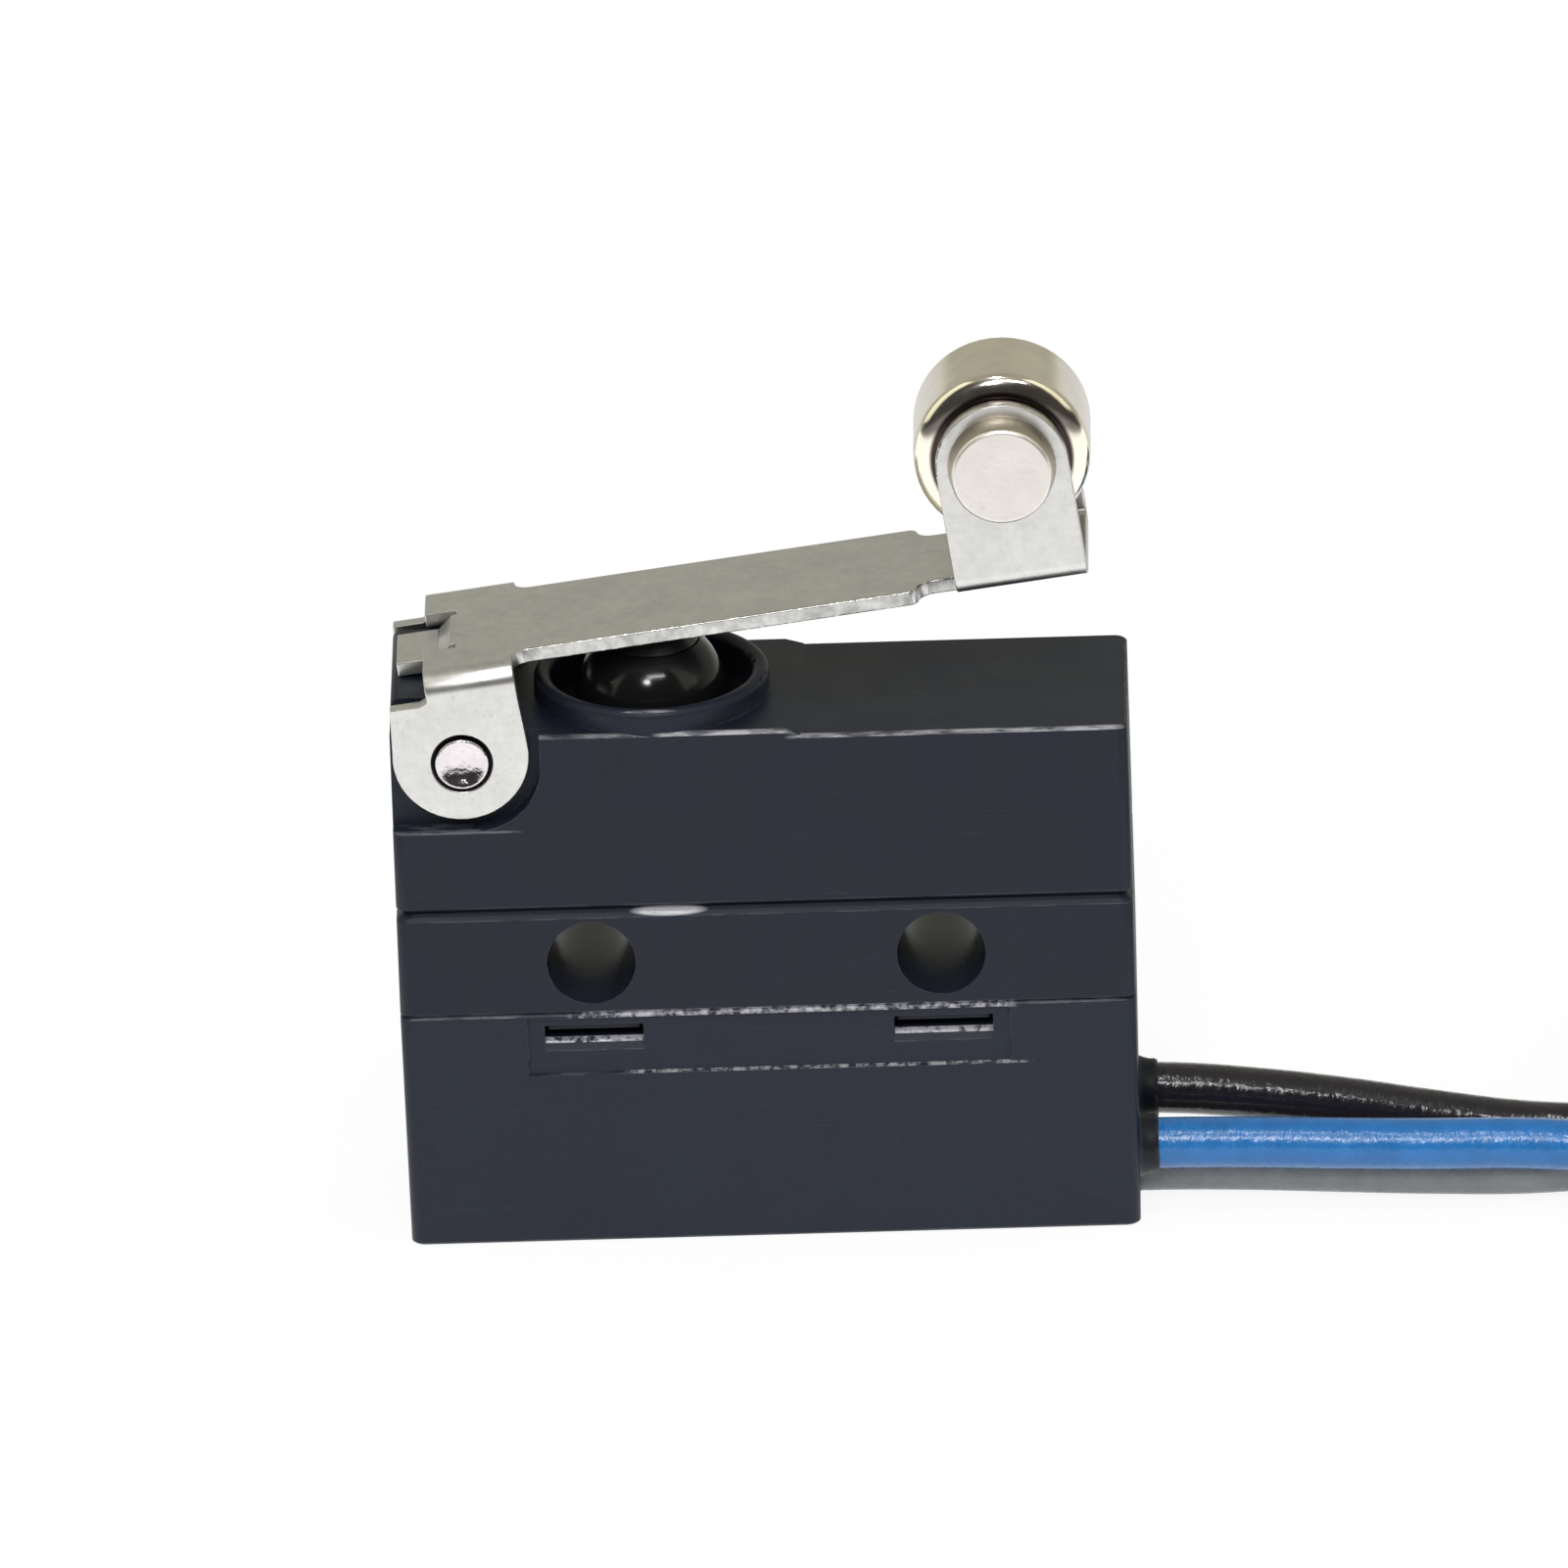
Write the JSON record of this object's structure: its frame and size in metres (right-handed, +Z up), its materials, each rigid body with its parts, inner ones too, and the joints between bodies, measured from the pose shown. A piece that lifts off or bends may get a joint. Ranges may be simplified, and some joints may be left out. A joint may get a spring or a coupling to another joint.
{
  "type": "micro switch",
  "caption": "Sealed subminiature snap-action switch: black moulded body, folded steel hinge lever with a roller over a booted plunger, side mounting holes and moulded leads.",
  "frame": {"origin": "centre of the bottom face of the moulded body", "axes": "+X along the body from the lever's pivot end to the lead end, +Y through the thickness along the mounting holes, +Z up towards the lever"},
  "size_m": [0.0621, 0.0163, 0.0245],
  "materials": {
    "moulding": "satin black",
    "bright_steel": "bright",
    "sheet_steel": "satin",
    "roller": "satin",
    "plunger": "gloss black",
    "rubber": "smooth",
    "brass": "plain",
    "silver": "plain",
    "spring_copper": "plain",
    "resin": "plain",
    "black_lead": "smooth",
    "blue_lead": "smooth",
    "grey_lead": "smooth",
    "tie": "satin"
  },
  "bodies": {
    "housing": {"bottom_cap": "moulding", "base": "moulding", "upper_case": "moulding", "lever_pin": "bright_steel", "rubber_boot": "rubber", "terminal_com": "brass", "terminal_no": "brass", "terminal_nc": "brass", "contact_no": "silver", "contact_nc": "silver", "snap_blade": "spring_copper", "potting_resin": "resin", "wire_black": "black_lead", "wire_blue": "blue_lead", "wire_grey": "grey_lead", "wire_hank": "grey_lead", "hank_ties": "tie", "bare_ends": "silver"},
    "lever_arm": {"lever": "sheet_steel", "roller_pin": "bright_steel"},
    "roller_wheel": {"roller": "roller"},
    "plunger_pin": {"plunger": "plunger"},
    "contact_carrier": {"moving_contact": "silver"}
  },
  "joints": [
    {"name": "lever_hinge", "type": "hinge", "parent": "housing", "child": "lever_arm", "pos_m": [-0.00805, 0, 0.01425], "axis": [0, 1, 0], "range_deg": [0, 9.4], "stiffness_Nm_per_rad": 0.01, "springref_deg": -5.73},
    {"name": "roller_spin", "type": "hinge", "parent": "lever_arm", "child": "roller_wheel", "pos_m": [0.00682, 0, 0.0221], "axis": [0, 1, 0], "continuous": true},
    {"name": "plunger_slide", "type": "slide", "parent": "housing", "child": "plunger_pin", "axis": [0, 0, -1], "range_m": [0, 0.00086], "deforming": ["rubber_boot", "snap_blade"]},
    {"name": "contact_throw", "type": "slide", "parent": "housing", "child": "contact_carrier", "axis": [0, 0, -1], "range_m": [0, 0.00045]}
  ],
  "couplings": [
    {"joint": "plunger_slide", "follows": "lever_hinge", "m_per_rad": 0.0052},
    {"joint": "contact_throw", "follows": "lever_hinge", "m_per_rad": 0.00274}
  ]
}
